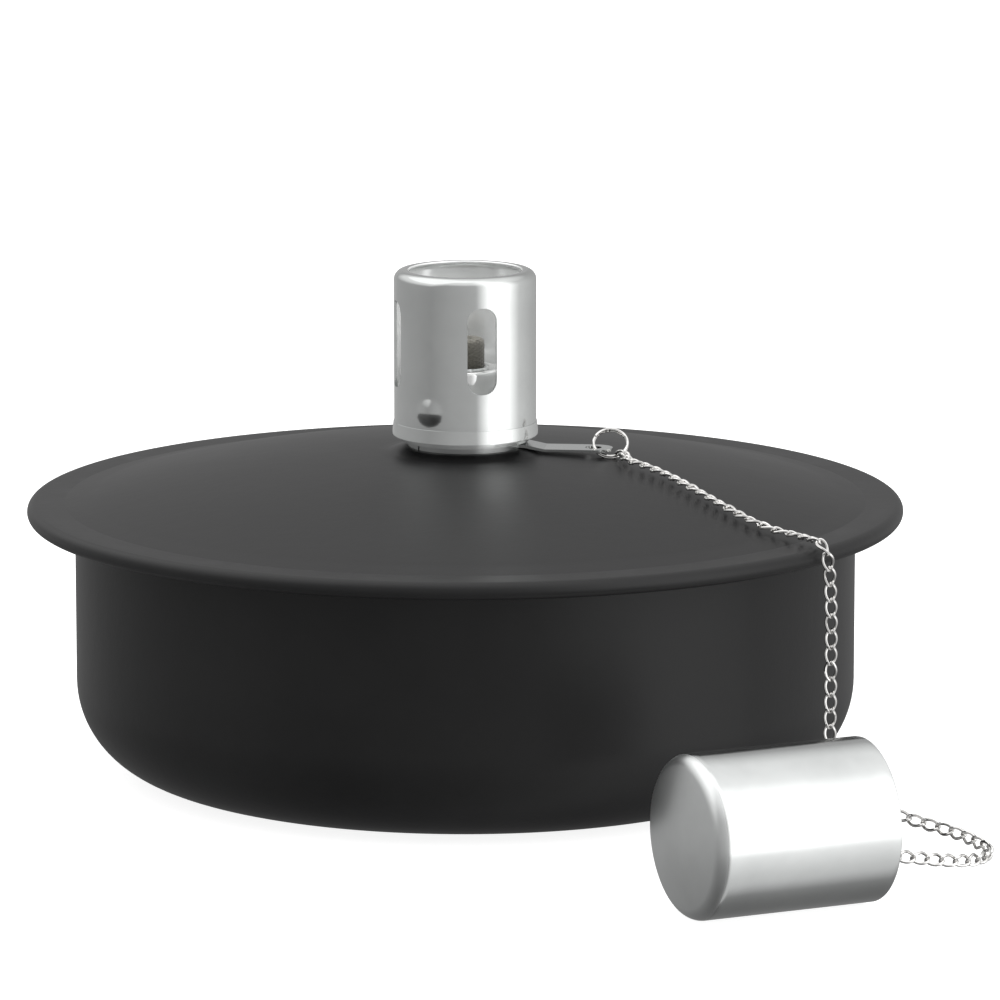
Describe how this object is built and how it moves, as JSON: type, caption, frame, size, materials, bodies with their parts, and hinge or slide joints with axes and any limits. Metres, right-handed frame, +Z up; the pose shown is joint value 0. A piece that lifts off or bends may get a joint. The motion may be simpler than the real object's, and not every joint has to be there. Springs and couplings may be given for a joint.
{
  "type": "tiki torch",
  "caption": "Garden torch lamp head: covered metal fuel bowl with rolled rim, screw-on slotted wick burner, swivelling lug, and a chained snuffer cap.",
  "frame": {"origin": "centre of the bowl's flat base", "axes": "+Z up along the bowl and burner axis; +X close to the direction the chain lug points; the snuffer cap lies towards -Y"},
  "size_m": [0.1935, 0.2363, 0.1036],
  "materials": {
    "black_paint": "black powder coat, satin",
    "nickel": "satin nickel-plated steel",
    "bright_nickel": "bright nickel plate",
    "black_rubber": "matt",
    "wick_fibre": "woven glass fibre"
  },
  "bodies": {
    "tank": {"bowl": "black_paint", "lid": "black_paint", "seam_gasket": "black_rubber", "filler_neck": "black_paint"},
    "sealing_ring": {"burner_gasket": "black_rubber"},
    "burner": {"burner_base": "nickel", "burner_sleeve": "nickel", "wick_holder": "nickel", "wick_tube": "nickel"},
    "wick": {"wick": "wick_fibre"},
    "tether": {"chain_lug": "nickel", "split_ring": "bright_nickel", "chain_run": "bright_nickel"},
    "snuffer": {"chain_tail": "bright_nickel", "snuffer_cap": "nickel", "snuffer_eye": "nickel", "snuffer_ring": "bright_nickel"}
  },
  "joints": [
    {"name": "burner_rise", "type": "slide", "parent": "tank", "child": "sealing_ring", "axis": [0, 0, 1], "range_m": [0, 0.0054]},
    {"name": "burner_turn", "type": "hinge", "parent": "sealing_ring", "child": "burner", "pos_m": [0, 0, 0.0725], "axis": [0, 0, 1], "range_deg": [0, 1260]},
    {"name": "wick_feed", "type": "slide", "parent": "burner", "child": "wick", "axis": [0, 0, 1], "range_m": [-0.003, 0.012]},
    {"name": "lug_swivel", "type": "hinge", "parent": "tank", "child": "tether", "pos_m": [0, 0, 0.068], "axis": [0, 0, 1], "continuous": true},
    {"name": "snuffer_lift", "type": "slide", "parent": "tether", "child": "snuffer", "axis": [0, 0, 1], "range_m": [0, 0.025]}
  ],
  "couplings": [
    {"joint": "burner_rise", "follows": "burner_turn", "m_per_rad": 0.00023873}
  ]
}
